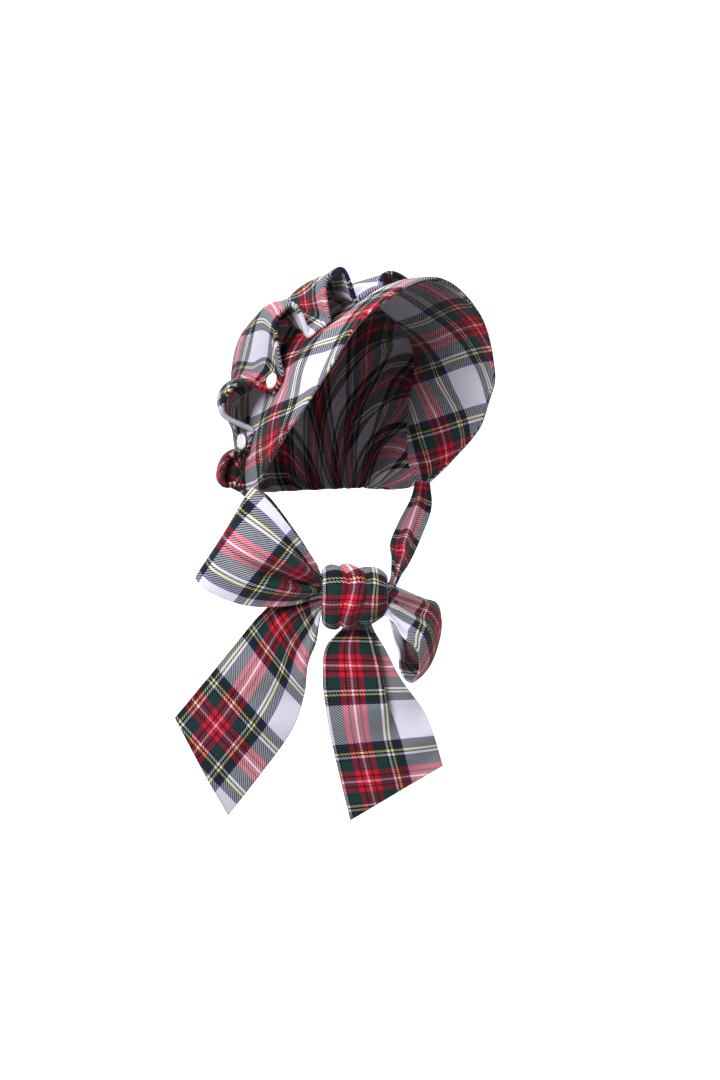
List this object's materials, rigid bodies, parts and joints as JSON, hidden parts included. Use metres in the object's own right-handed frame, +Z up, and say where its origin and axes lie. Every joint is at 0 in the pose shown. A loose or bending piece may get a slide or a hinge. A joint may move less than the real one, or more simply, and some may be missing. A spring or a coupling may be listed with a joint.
{
  "type": "bonnet",
  "caption": "Tartan bonnet with a stiff flared brim, a soft crown snapped down over it in puffs, and wide ties knotted in a bow under the chin.",
  "frame": {"origin": "inside the top of the crown, where the bonnet sits on the head", "axes": "+Z up the head, -Y the way the face looks, +X to the wearer's left"},
  "size_m": [0.2498, 0.2191, 0.4197],
  "materials": {
    "brim_cloth": "matte twill tartan in white, red, green, navy and yellow, stiffened",
    "crown_cloth": "matte twill tartan in white, red, green, navy and yellow, soft",
    "tie_cloth": "matte twill tartan in white, red, green, navy and yellow, soft",
    "snap_cap": "glossy white moulded plastic"
  },
  "bodies": {
    "root": {"brim": "brim_cloth", "crown": "crown_cloth", "snap_right_low": "snap_cap", "snap_right_high": "snap_cap", "snap_left_high": "snap_cap", "snap_left_low": "snap_cap", "bow_knot": "tie_cloth", "bow_loop_right": "tie_cloth", "bow_loop_left": "tie_cloth", "bow_tail_right": "tie_cloth", "bow_tail_left": "tie_cloth", "tie_right": "tie_cloth", "tie_left": "tie_cloth"}
  },
  "joints": []
}
